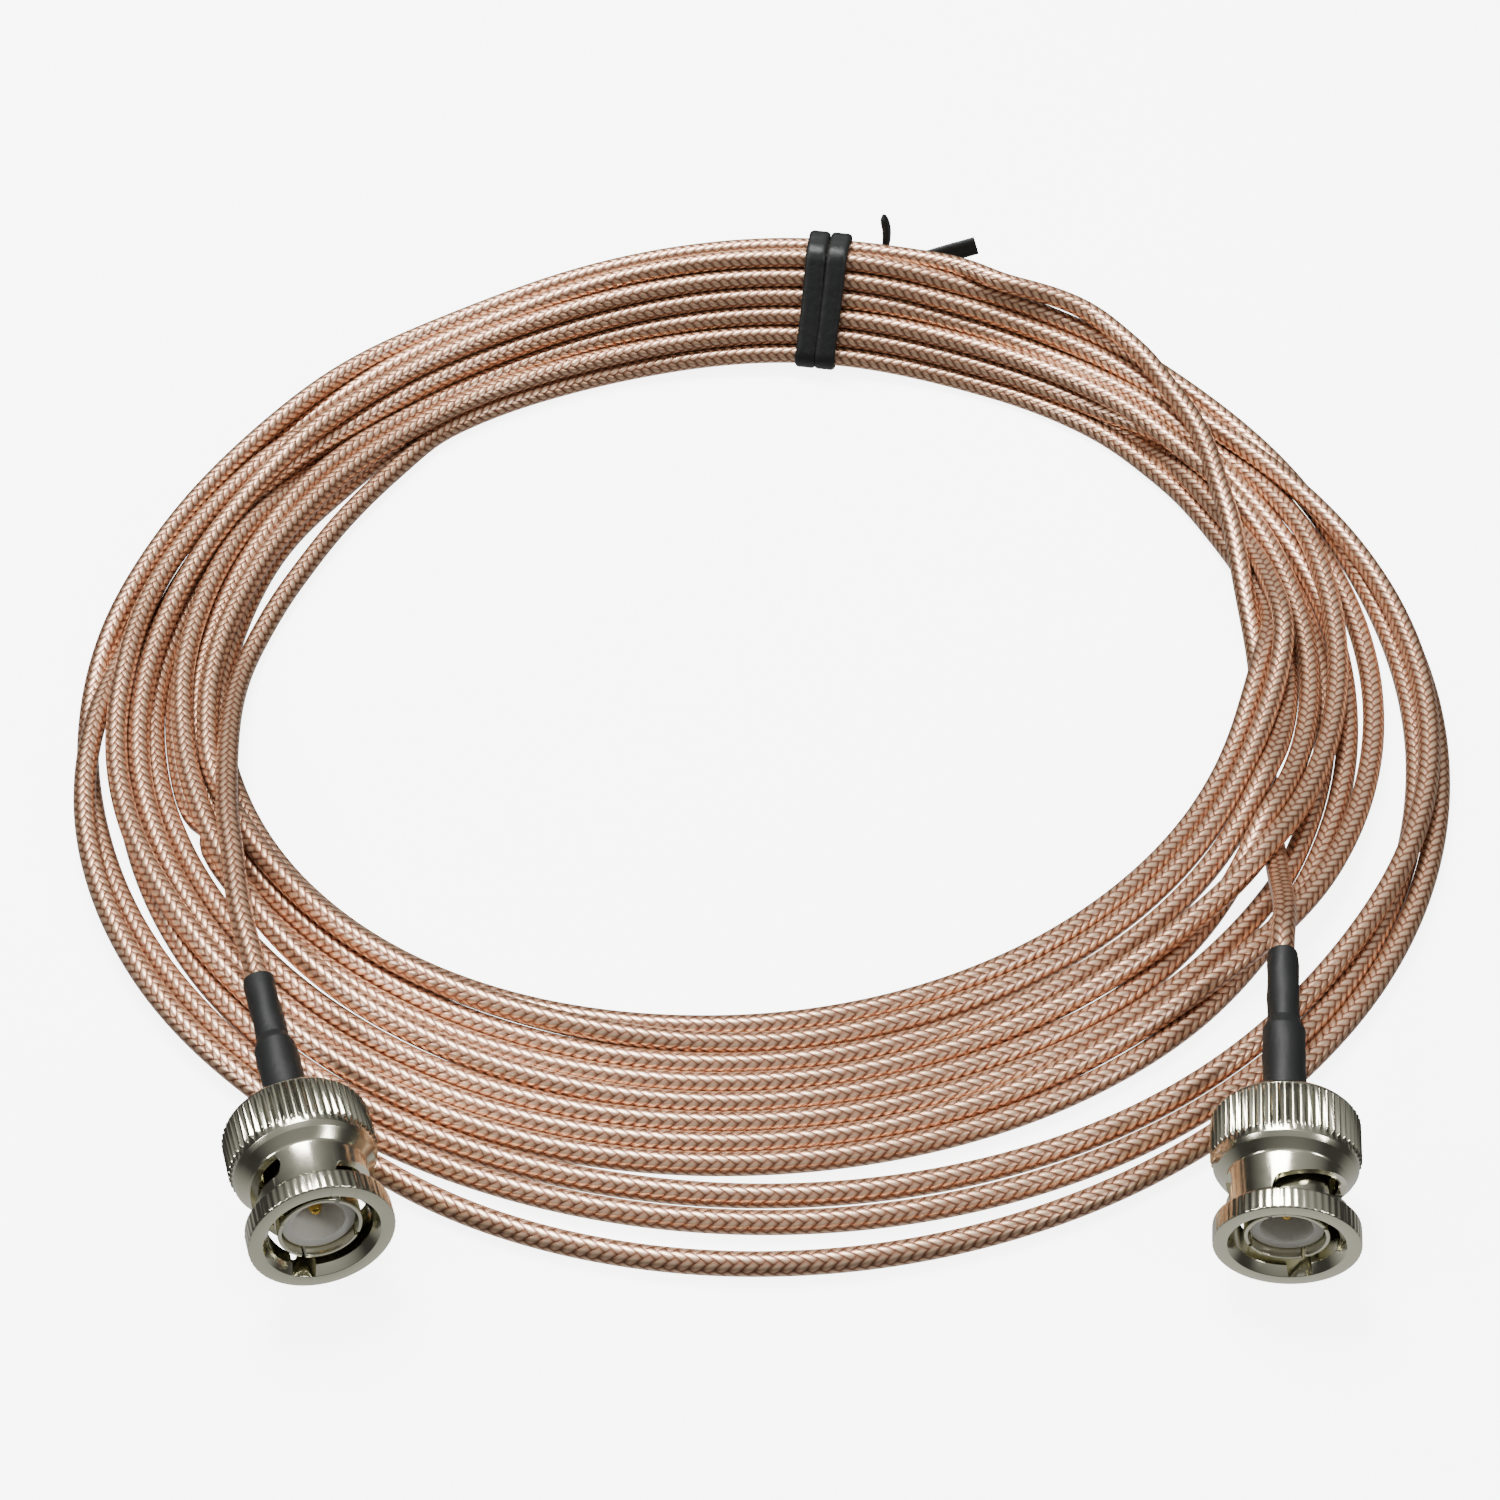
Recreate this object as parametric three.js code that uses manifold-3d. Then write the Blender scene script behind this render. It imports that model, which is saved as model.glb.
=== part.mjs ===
// A five metre coaxial jumper cable, wound into a flat coil and held by one tie,
// with a bayonet cable plug on each end.
// Millimetres, +Z up. The origin is on the floor under the middle of the whole object,
// and -Y is the side that the two plugs point to.

import * as THREE from 'three';
import Module from 'manifold-3d';
import { mergeVertices } from 'three/addons/utils/BufferGeometryUtils.js';

const wasm = await Module();
wasm.setup();

// Cable and clearances
const cableDiameter = 2.5;
const pieceGap = 0.3;

// Coil: an eccentric ring, low and wide at the front, tall and narrow under the tie
const boreCentre = { x: -3.4, y: 13.4 };
const boreLongRadius = 62;
const boreShortRadius = 57.2;
const boreTurn = 40;
const rimCentre = { x: 0, y: 1.4 };
const rimRadius = 80.3;
const coilHeight = 4.8;
const coilEdgeHeight = 2.5;
const tieHeight = 13.2;
const tieBundleWidth = 5.8;
const tieLean = 5.8;
const tieAngle = 80;
const tieInset = 4;
const leftSpread = 62;
const rightSpread = 44;
const coilLanes = 8;
const laneGroove = 0.55;
const coilSteps = 60;

// Tie: two wraps of flat plastic-covered wire, twisted together behind the bundle
const tieThickness = 0.9;
const tieWidth = 6.2;
const tieClearance = 0.5;
const tieEdge = 0.3;
const tieGroove = 1;
const tieGrooveDepth = 0.35;
const tieWire = 1.3;
const tieKnotHeight = 9.2;
const tieSquareness = 8;
const tieSteps = 32;

// Routes of the tie's two ends from the knot behind the bundle: out, up and along the cable
const upEnd = [[-0.5, 1.1, 1.1], [1, 1.4, 2.9], [1.9, 1.9, 5], [2.4, 2.9, 6.8], [2.9, 4.4, 7.2]];
const sideEnd = [[-0.5, -0.9, 1.1], [0.9, -0.9, 3.6], [1.2, -0.6, 8.4], [1.2, 0.9, 17.4]];

// Plug: distances run back along its axis from the front face of the nut
const nutLength = 14.5;
const nutDiameter = 14.5;
const nutRimDiameter = 14;
const nutRimLength = 2;
const nutBarrelDiameter = 11.4;
const nutBoreDiameter = 9.9;
const nutShoulder = 7.4;
const nutBevel = 1.2;
const nutEdge = 0.5;
const knurlFront = 9.3;
const knurlLength = 4.6;
const knurlDepth = 0.3;
const knurlRidges = 24;
const nutCavityDiameter = 11.4;
const nutCavityFront = 9.2;
const nutCavityCone = 0.7;
const nutBackWall = 1.2;
const nutBackBore = 8.7;
const lugWidth = 2.3;
const lugDepth = 0.5;
const slotWidth = 2.2;
const slotTurn = 90;
const slotRise = 2.6;
const slotFront = 3;
const slotOffset = 0.4;

const contactRecess = 1;
const contactDiameter = 8.1;
const contactBore = 7.3;
const contactDepth = 9;
const contactSlits = 4;
const slitWidth = 0.5;
const slitLength = 3;
const flangeDiameter = 10.6;
const flangeThickness = 1.1;
const flangePlace = 9.9;
const bodyDiameter = 8;
const bodyEnd = 15.2;

const insulatorRecess = 1.9;
const insulatorMouth = 4.9;
const insulatorMouthDepth = 4.6;
const pinDiameter = 1.35;
const pinRecess = 3;
const pinTip = 0.7;
const washerThickness = 0.8;

const sleeveLength = 19;
const sleeveWideDiameter = 4.2;
const sleeveWideLength = 9.5;
const sleeveTaper = 1.2;
const sleeveNarrowDiameter = 3.1;
const ferruleDiameter = 2.8;
const ferruleLength = 8.4;

const roundSides = 32;
const smallSides = 24;
const pinSides = 12;

// Where each plug lies: its front face's angle round the rim, how far past the rim and how high
// that is, where its axis points, and how far its nut is turned
const leftPlug = { rimAngle: 242.3, rimGap: 11.2, height: 9.4, heading: 287.5, rise: 2.2, nutTurn: 35 };
const rightPlug = { rimAngle: 300.9, rimGap: 13.5, height: 7.2, heading: 263.5, rise: -5.2, nutTurn: 8 };

// Routes of the two loose ends, from the coil to just before the sleeve of the plug
const leftRoute = [
  [-45.3, 50.8, 1.3], [-50.9, 41.5, 1.3], [-54.7, 33.8, 1.3], [-57.6, 26.4, 1.3], [-59.6, 20.7, 1.3],
  [-61.2, 14.7, 1.3], [-62.4, 8.6, 1.5], [-62.6, 1.3, 2.6], [-61.7, -8.6, 4.4], [-59.8, -21.2, 6.4],
  [-58.4, -27, 7], [-56.2, -36.7, 7.8],
];
const rightRoute = [
  [30.2, 69.9, 13.9], [37.7, 68.1, 12.8], [42.7, 65.4, 11.8], [45.9, 61.7, 10.9], [48.6, 58.3, 10.3],
  [51, 52.7, 9.6], [53.5, 47.4, 8.9], [55, 41.7, 8.1], [55.8, 35.1, 7.2], [56.6, 30.6, 6.2],
  [57, 25.9, 5], [57.4, 18.6, 3.2], [57.7, 13.7, 2.2], [57.7, 7.9, 1.5], [57.2, 1.5, 1.3],
  [56.7, -3.6, 1.3], [56.2, -10, 1.4], [55.8, -16.2, 1.7], [55.3, -22.7, 2.4], [54.7, -29, 4.5],
  [54, -34.4, 7.4], [53.3, -38.8, 9.6],
];

const tails = [
  { side: 'left', route: leftRoute, plug: leftPlug, steps: 26 },
  { side: 'right', route: rightRoute, plug: rightPlug, steps: 34 },
];

const radians = THREE.MathUtils.degToRad;

function solidFrom(geometry) {
  const bare = geometry.clone();
  bare.deleteAttribute('normal');
  bare.deleteAttribute('uv');
  const merged = mergeVertices(bare, 1e-4);
  return new wasm.Manifold(new wasm.Mesh({
    numProp: 3,
    vertProperties: new Float32Array(merged.attributes.position.array),
    triVerts: new Uint32Array(merged.index.array),
  }));
}

function geometryFrom(solid) {
  const mesh = solid.getMesh();
  const geometry = new THREE.BufferGeometry();
  geometry.setAttribute('position', new THREE.BufferAttribute(mesh.vertProperties, 3));
  geometry.setIndex(new THREE.BufferAttribute(mesh.triVerts, 1));
  geometry.computeVertexNormals();
  return geometry;
}

function pieceMesh(name, geometry, colour, roughness, metalness) {
  const material = new THREE.MeshStandardMaterial({ color: colour, roughness, metalness });
  const mesh = new THREE.Mesh(geometry, material);
  mesh.name = name;
  return mesh;
}

const finish = {
  cable: [0xc99a82, 0.35, 0.2],
  tie: [0x2b2e2c, 0.55, 0],
  nickel: [0xc9c7b8, 0.22, 1],
  spring: [0x9c9a90, 0.35, 1],
  insulator: [0xc4c1b8, 0.5, 0],
  pin: [0xc8a850, 0.25, 1],
  ferrule: [0xb8b4a6, 0.4, 1],
  sleeve: [0x2e3130, 0.7, 0],
};

// How tall the bundle stands at an angle, from 0 where the coil lies flat to 1 under the tie
function standing(degrees) {
  const offset = ((degrees - tieAngle + 540) % 360) - 180;
  const spread = offset > 0 ? leftSpread : rightSpread;
  return Math.exp(-((offset / spread) ** 2));
}

// The coil's section at one angle, as where its walls stand and how high it reaches
function coilSection(degrees) {
  const along = new THREE.Vector2(Math.cos(radians(degrees)), Math.sin(radians(degrees)));
  const turned = radians(degrees - boreTurn);
  const oval = 1 / Math.hypot(Math.cos(turned) / boreLongRadius, Math.sin(turned) / boreShortRadius);
  const shift = new THREE.Vector2(rimCentre.x - boreCentre.x, rimCentre.y - boreCentre.y);
  const reach = shift.dot(along);
  const rim = reach + Math.sqrt(rimRadius ** 2 - shift.lengthSq() + reach ** 2);
  const tall = standing(degrees);
  const bore = oval - tieInset * tall ** 1.5;
  const width = (rim - bore) * (1 - tall) + tieBundleWidth * tall;
  const lift = (tieThickness + tieClearance + pieceGap) * tall ** 4;
  return { along, bore, width, lift, tall, height: coilHeight + (tieHeight - coilHeight) * tall };
}

// One corner of the coil: u runs from the bore to the rim, v from the underside to the top
function coilPoint(degrees, u, v) {
  const section = coilSection(degrees);
  const radius = section.bore + u * section.width + v * tieLean * section.tall ** 2;
  const middle = 1 - Math.abs(2 * u - 1) ** 3;
  const height = THREE.MathUtils.lerp(coilEdgeHeight, section.height, Math.max(section.tall, middle));
  return new THREE.Vector3(
    boreCentre.x + section.along.x * radius,
    boreCentre.y + section.along.y * radius,
    section.lift + v * height,
  );
}

// The section's outline, as [u, v] corners from the rim over the top to the bore: a ridge for
// each lane of turns
function coilOutline() {
  const outline = [[0.04, 0], [0, 0.3], [0, 0.62]];
  const groove = laneGroove / coilHeight;
  for (let lane = 0; lane < coilLanes; lane += 1) {
    const start = lane / coilLanes;
    if (lane > 0) outline.push([start, 1 - 2 * groove]);
    outline.push([start + 0.3 / coilLanes, 1], [start + 0.7 / coilLanes, 1]);
  }
  outline.push([1, 0.62], [1, 0.3], [0.96, 0]);
  return outline.reverse();
}

// A lathe ring, whose corners are then moved to where the bundle is at each angle, with a
// channel for each loose end where it runs in or under the turns
function coilGeometry() {
  const outline = coilOutline();
  const profile = outline.map(([u, v]) => new THREE.Vector2(boreLongRadius + u, v));
  profile.push(profile[0].clone());
  const geometry = new THREE.LatheGeometry(profile, coilSteps);
  const place = geometry.attributes.position;
  for (let i = 0; i < place.count; i += 1) {
    const step = Math.floor(i / profile.length) % coilSteps;
    const [u, v] = outline[(i % profile.length) % outline.length];
    const corner = coilPoint((step * 360) / coilSteps - 90, u, v);
    place.setXYZ(i, corner.x, corner.z, -corner.y);
  }
  geometry.rotateX(Math.PI / 2);
  let solid = solidFrom(geometry);
  for (const tail of tails) solid = solid.subtract(solidFrom(tailGeometry(tail, pieceGap)));
  return geometryFrom(solid);
}

function tube(points, diameter, steps, sides) {
  const path = new THREE.CatmullRomCurve3(points.map((p) => new THREE.Vector3(...p)), false, 'centripetal');
  const round = [];
  for (let i = 0; i < sides; i += 1) {
    const turn = ((i + 0.5) / sides) * Math.PI * 2;
    round.push(new THREE.Vector2(Math.cos(turn), Math.sin(turn)).multiplyScalar(diameter / 2));
  }
  return new THREE.ExtrudeGeometry(new THREE.Shape(round), { steps, extrudePath: path, bevelEnabled: false });
}

// The middle of a plug's front face, its direction, and a place on its axis that far back
function plugFace(plug) {
  const distance = rimRadius + plug.rimGap;
  return new THREE.Vector3(
    rimCentre.x + distance * Math.cos(radians(plug.rimAngle)),
    rimCentre.y + distance * Math.sin(radians(plug.rimAngle)),
    plug.height,
  );
}

function plugDirection(plug) {
  const flat = Math.cos(radians(plug.rise));
  return new THREE.Vector3(
    Math.cos(radians(plug.heading)) * flat,
    Math.sin(radians(plug.heading)) * flat,
    Math.sin(radians(plug.rise)),
  );
}

function plugAxisPoint(plug, back) {
  return plugFace(plug).addScaledVector(plugDirection(plug), -back);
}

// A loose end: its chosen route, then straight into the back of its sleeve; or, with a
// clearance, the room that it takes in the coil
function tailGeometry({ route, plug, steps }, clearance) {
  const sleeveBack = bodyEnd + pieceGap + sleeveLength;
  const straight = plugAxisPoint(plug, sleeveBack + cableDiameter).toArray();
  const end = plugAxisPoint(plug, sleeveBack + pieceGap).toArray();
  const [first, second] = route.map((point) => new THREE.Vector3(...point));
  const start = first.clone().sub(second).setLength(clearance).add(first).toArray();
  const points = clearance > 0 ? [start, ...route, straight, end] : [...route, straight, end];
  return tube(points, cableDiameter + 2 * clearance, steps, 8);
}

// A place on the tie: round the bundle's leaning oblong by turn, out from it by offset, and
// along the cable by place. Local axes are outwards, up and along, with the bundle's foot at zero
function tiePoint(turn, offset, place) {
  const section = coilSection(tieAngle);
  const softened = (value) => Math.sign(value) * Math.abs(value) ** (2 / tieSquareness);
  const up = section.height / 2 + softened(Math.sin(turn)) * (section.height / 2 + offset);
  const out = section.width / 2 + softened(Math.cos(turn)) * (section.width / 2 + offset);
  return new THREE.Vector3(out + (tieLean * up) / section.height, up, place);
}

// The band: a lathe ring of its own flat section, with a groove between the two wraps, whose
// corners are then moved onto the bundle's oblong
function bandGeometry() {
  const half = tieWidth / 2;
  const top = tieClearance + tieThickness;
  const outline = [
    [tieClearance, -half], [top, tieEdge - half], [top, -tieGroove / 2], [top - tieGrooveDepth, 0],
    [top, tieGroove / 2], [top, half - tieEdge], [tieClearance, half],
  ];
  const profile = outline.map(([offset, place]) => new THREE.Vector2(tieHeight + offset, place));
  profile.push(profile[0].clone());
  const geometry = new THREE.LatheGeometry(profile, tieSteps);
  const position = geometry.attributes.position;
  for (let i = 0; i < position.count; i += 1) {
    const step = Math.floor(i / profile.length) % tieSteps;
    const [offset, place] = outline[(i % profile.length) % outline.length];
    const corner = tiePoint((step * 2 * Math.PI) / tieSteps, offset, place);
    position.setXYZ(i, corner.x, corner.y, corner.z);
  }
  return geometry;
}

// The band and its two ends, which part behind the bundle: one stands up, one lies along the cable
function tieGeometry() {
  const section = coilSection(tieAngle);
  const lean = (tieLean * tieKnotHeight) / section.height;
  const knot = section.width + tieClearance + tieThickness + lean;
  let solid = solidFrom(bandGeometry());
  for (const route of [upEnd, sideEnd]) {
    const end = route.map(([out, up, along]) => [knot + out, tieKnotHeight + up, along]);
    solid = solid.add(solidFrom(tube(end, tieWire, 9, 8)));
  }
  const geometry = geometryFrom(solid);
  geometry.translate(section.bore, section.lift, 0);
  geometry.rotateX(Math.PI / 2);
  geometry.rotateZ(radians(tieAngle));
  geometry.translate(boreCentre.x, boreCentre.y, 0);
  return geometry;
}

// A turned piece: corners are [diameter, distance back from the front face], listed so that
// the outside runs back, and the lathe takes them the other way round to face outwards
function turned(corners, sides) {
  const profile = corners.map(([diameter, back]) => new THREE.Vector2(diameter / 2, -back)).reverse();
  const hollow = corners[0][0] > 0;
  if (hollow) profile.push(profile[0].clone());
  return new THREE.LatheGeometry(profile, sides);
}

// A box bent round the axis: sweeps from one angle to another as it runs back, to cut a slot.
// Its corners fall between those of the turned wall that it cuts, never on them
function bentSlot(startDegrees, turnDegrees, stepDegrees, front, rise, innerRadius, outerRadius, width) {
  const geometry = new THREE.BoxGeometry(1, 1, 1, Math.round(turnDegrees / stepDegrees), 1, 1);
  const place = geometry.attributes.position;
  for (let i = 0; i < place.count; i += 1) {
    const share = place.getX(i) + 0.5;
    const angle = radians(startDegrees + stepDegrees * slotOffset + turnDegrees * share);
    const radius = place.getZ(i) > 0 ? outerRadius : innerRadius;
    const back = front + rise * Math.min(1, share * 1.25) - place.getY(i) * width + width / 2;
    place.setXYZ(i, Math.sin(angle) * radius, -back, Math.cos(angle) * radius);
  }
  return geometry;
}

function nutGeometry(nutTurn) {
  const sides = knurlRidges * 2;
  const collarDiameter = nutDiameter - 2 * knurlDepth;
  const corners = [
    [nutBoreDiameter, 0], [nutRimDiameter - nutEdge, 0], [nutRimDiameter, nutEdge / 2],
    [nutRimDiameter, nutRimLength], [nutBarrelDiameter, nutRimLength],
    [nutBarrelDiameter, nutShoulder], [collarDiameter, nutShoulder + nutBevel], [collarDiameter, knurlFront],
    [nutDiameter, knurlFront + knurlDepth], [nutDiameter, knurlFront + knurlLength - knurlDepth],
    [collarDiameter, knurlFront + knurlLength], [collarDiameter - nutEdge, nutLength],
    [nutBackBore, nutLength], [nutBackBore, nutLength - nutBackWall],
    [nutCavityDiameter, nutLength - nutBackWall], [nutCavityDiameter, nutCavityFront + nutCavityCone],
    [nutBoreDiameter, nutCavityFront],
  ];
  const turnedNut = turned(corners, sides);
  const place = turnedNut.attributes.position;
  for (let i = 0; i < place.count; i += 1) {
    const radius = Math.hypot(place.getX(i), place.getZ(i));
    const step = Math.floor(i / (corners.length + 1));
    if (radius > nutDiameter / 2 - 1e-3 && step % 2 === 1) {
      const valley = (radius - knurlDepth) / radius;
      place.setX(i, place.getX(i) * valley);
      place.setZ(i, place.getZ(i) * valley);
    }
  }
  let solid = solidFrom(turnedNut);
  const boreRadius = nutBoreDiameter / 2;
  for (const side of [0, 180]) {
    const channelEnd = slotFront + slotWidth / 2;
    const channel = new THREE.BoxGeometry(lugWidth, 2 * channelEnd, boreRadius + lugDepth);
    channel.translate(0, 0, (boreRadius + lugDepth) / 2);
    channel.rotateY(radians(side));
    solid = solid.subtract(solidFrom(channel));
    const step = 360 / sides;
    const slot = bentSlot(side, slotTurn, step, slotFront, slotRise, boreRadius - 1, boreRadius + 1.6, slotWidth);
    solid = solid.subtract(solidFrom(slot));
  }
  return geometryFrom(solid).rotateY(radians(nutTurn));
}

function plugBodyGeometry() {
  const corners = [
    [0, contactDepth], [contactBore, contactDepth], [contactBore, contactRecess],
    [contactDiameter - 0.3, contactRecess], [contactDiameter, contactRecess + 0.4],
    [contactDiameter, flangePlace], [flangeDiameter, flangePlace],
    [flangeDiameter, flangePlace + flangeThickness], [bodyDiameter, flangePlace + flangeThickness],
    [bodyDiameter, bodyEnd], [0, bodyEnd],
  ];
  let solid = solidFrom(turned(corners, roundSides));
  for (let i = 0; i < contactSlits / 2; i += 1) {
    const slit = new THREE.BoxGeometry(contactDiameter + 2, slitLength, slitWidth);
    slit.translate(0, -contactRecess - slitLength / 2 + 0.5, 0);
    slit.rotateY((i * Math.PI * 2) / contactSlits + Math.PI / contactSlits);
    solid = solid.subtract(solidFrom(slit));
  }
  return geometryFrom(solid);
}

function insulatorGeometry() {
  const outside = contactBore - 2 * pieceGap;
  const pinHole = pinDiameter + 2 * pieceGap;
  const base = insulatorRecess + insulatorMouthDepth;
  return turned([
    [pinHole, contactDepth - pieceGap], [pinHole, base], [insulatorMouth, base],
    [insulatorMouth, insulatorRecess], [outside, insulatorRecess], [outside, contactDepth - pieceGap],
  ], smallSides);
}

function pinGeometry() {
  return turned([
    [0, pinRecess], [pinDiameter / 2, pinRecess], [pinDiameter, pinRecess + pinTip],
    [pinDiameter, contactDepth - pieceGap], [0, contactDepth - pieceGap],
  ], pinSides);
}

function washerGeometry() {
  const back = nutLength - nutBackWall - pieceGap;
  const inside = bodyDiameter + 2 * pieceGap;
  const outside = nutCavityDiameter - 2 * pieceGap;
  return turned([
    [inside, back], [inside, back - washerThickness], [outside, back - washerThickness], [outside, back],
  ], smallSides);
}

function ferruleGeometry() {
  const front = bodyEnd + pieceGap;
  return turned([
    [0, front], [ferruleDiameter, front], [ferruleDiameter, front + ferruleLength], [0, front + ferruleLength],
  ], smallSides);
}

function sleeveGeometry() {
  const front = bodyEnd + pieceGap;
  const hole = ferruleDiameter + 2 * pieceGap;
  const holeEnd = front + ferruleLength + pieceGap;
  return turned([
    [0, holeEnd], [hole, holeEnd], [hole, front], [sleeveWideDiameter, front],
    [sleeveWideDiameter, front + sleeveWideLength], [sleeveNarrowDiameter, front + sleeveWideLength + sleeveTaper],
    [sleeveNarrowDiameter, front + sleeveLength], [0, front + sleeveLength],
  ], smallSides);
}

// A plug, made round its own +Y axis with its front face at zero, then laid in place
function plugGroup(side, plug) {
  const group = new THREE.Group();
  group.add(
    pieceMesh(`coupling_nut_${side}`, nutGeometry(plug.nutTurn), ...finish.nickel),
    pieceMesh(`spring_washer_${side}`, washerGeometry(), ...finish.spring),
    pieceMesh(`plug_body_${side}`, plugBodyGeometry(), ...finish.nickel),
    pieceMesh(`insulator_${side}`, insulatorGeometry(), ...finish.insulator),
    pieceMesh(`centre_pin_${side}`, pinGeometry(), ...finish.pin),
    pieceMesh(`crimp_ferrule_${side}`, ferruleGeometry(), ...finish.ferrule),
    pieceMesh(`shrink_sleeve_${side}`, sleeveGeometry(), ...finish.sleeve),
  );
  group.quaternion.setFromUnitVectors(new THREE.Vector3(0, 1, 0), plugDirection(plug));
  group.position.copy(plugFace(plug));
  return group;
}

const cableCoil = new THREE.Group();
cableCoil.add(
  pieceMesh('cable_coil', coilGeometry(), ...finish.cable),
  ...tails.map((tail) => pieceMesh(`cable_tail_${tail.side}`, tailGeometry(tail, 0), ...finish.cable)),
  pieceMesh('cable_tie', tieGeometry(), ...finish.tie),
  plugGroup('left', leftPlug),
  plugGroup('right', rightPlug),
);

export default cableCoil;
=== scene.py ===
import math

import bmesh
import bpy
import numpy as np
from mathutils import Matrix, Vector


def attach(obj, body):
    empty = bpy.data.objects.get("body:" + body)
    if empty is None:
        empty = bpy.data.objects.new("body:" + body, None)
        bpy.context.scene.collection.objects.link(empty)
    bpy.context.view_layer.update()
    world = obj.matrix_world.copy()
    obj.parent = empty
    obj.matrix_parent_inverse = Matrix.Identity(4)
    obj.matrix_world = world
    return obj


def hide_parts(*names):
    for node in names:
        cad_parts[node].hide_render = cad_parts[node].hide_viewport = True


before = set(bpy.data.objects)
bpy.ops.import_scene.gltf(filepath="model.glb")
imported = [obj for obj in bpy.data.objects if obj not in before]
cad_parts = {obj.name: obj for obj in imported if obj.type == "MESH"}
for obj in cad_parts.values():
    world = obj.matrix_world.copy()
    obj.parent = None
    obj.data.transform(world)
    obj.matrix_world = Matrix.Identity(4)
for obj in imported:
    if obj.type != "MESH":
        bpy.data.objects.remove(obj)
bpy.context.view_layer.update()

mm = 0.001
print("frame loaded")


# Colours are written as the eye sees them on screen and turned into linear light here
def colour(hexCode):
    screen = np.array([int(hexCode[i:i + 2], 16) for i in (1, 3, 5)]) / 255
    linear = np.where(screen <= 0.04045, screen / 12.92, ((screen + 0.055) / 1.055) ** 2.4)
    return (*linear.tolist(), 1.0)


# Adds a node with its settings and inputs: a value is set, an output socket is linked
def addNode(tree, kind, inputs=None, **settings):
    node = tree.nodes.new(kind)
    for key, value in settings.items():
        setattr(node, key, value)
    for key, value in (inputs or {}).items():
        socket = node.inputs[key]
        if isinstance(value, bpy.types.NodeSocket):
            tree.links.new(value, socket)
        else:
            socket.default_value = value
    return node


def mathNode(tree, operation, *values):
    return addNode(tree, "ShaderNodeMath", dict(enumerate(values)), operation=operation).outputs[0]


def newMaterial(name):
    material = bpy.data.materials.new(name)
    material.use_nodes = True
    tree = material.node_tree
    return material, tree, tree.nodes["Principled BSDF"]


sharpAngle = 40  # degrees between faces, over which an edge stays sharp
roundedAngle = 62  # degrees between faces, over which the edge of a cut is rounded


# A closed mesh in metres from points in millimetres, smooth but for its sharp edges
def newPiece(name, points, faces, material, alongAndAround=None):
    mesh = bpy.data.meshes.new(name)
    mesh.from_pydata((np.asarray(points) * mm).tolist(), [], faces)
    if alongAndAround is not None:
        layer = mesh.uv_layers.new(name="alongAndAround")
        layer.data.foreach_set("uv", np.asarray(alongAndAround, dtype=np.float32).ravel())
    shell = bmesh.new()
    shell.from_mesh(mesh)
    bmesh.ops.recalc_face_normals(shell, faces=shell.faces)
    shell.to_mesh(mesh)
    shell.free()
    mesh.materials.append(material)
    mesh.shade_smooth()
    mesh.set_sharp_from_angle(angle=math.radians(sharpAngle))
    obj = bpy.data.objects.new(name, mesh)
    bpy.context.scene.collection.objects.link(obj)
    return obj


# The faces between rings of equal size, each ring joined to the next, and a cap on each end
def ringFaces(rings, sides, closedLoop=False):
    ring = np.arange(rings if closedLoop else rings - 1)[:, None] * sides
    side = np.arange(sides)[None, :]
    after = (side + 1) % sides
    nextRing = (ring + sides) % (rings * sides)
    quads = np.stack([ring + side, ring + after, nextRing + after, nextRing + side], -1).reshape(-1, 4)
    faces = quads.tolist()
    if not closedLoop:
        faces.append(np.arange(sides)[::-1].tolist())
        faces.append((np.arange(sides) + (rings - 1) * sides).tolist())
    return faces


# A tube along a path: each ring is a circle square to the path, starting from the side that
# the path's cross product with straight up gives. The map holds millimetres along and turns round
def tubePiece(name, path, radius, sides, material):
    path = np.asarray(path, float)
    step = np.gradient(path, axis=0)
    forward = step / np.linalg.norm(step, axis=1, keepdims=True)
    side = np.cross(forward, [0, 0, 1])
    side /= np.linalg.norm(side, axis=1, keepdims=True)
    up = np.cross(side, forward)
    turn = np.arange(sides) / sides * 2 * np.pi
    wide = np.broadcast_to(np.asarray(radius, float).reshape(-1, 1, 1), (len(path), 1, 1))
    ring = np.cos(turn)[None, :, None] * side[:, None] + np.sin(turn)[None, :, None] * up[:, None]
    points = (path[:, None] + wide * ring).reshape(-1, 3)
    along = np.concatenate([[0], np.cumsum(np.linalg.norm(np.diff(path, axis=0), axis=1))])
    faces = ringFaces(len(path), sides)
    low, high = along[:-1, None] + 0 * turn, along[1:, None] + 0 * turn
    left, right = np.arange(sides) / sides + 0 * low, (np.arange(sides) + 1) / sides + 0 * low
    quadMap = np.stack([low, left, low, right, high, right, high, left], -1).reshape(-1, 2)
    capMap = np.zeros((2 * sides, 2))
    return newPiece(name, points, faces, material, np.vstack([quadMap, capMap]))


print("helpers ready")

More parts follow.
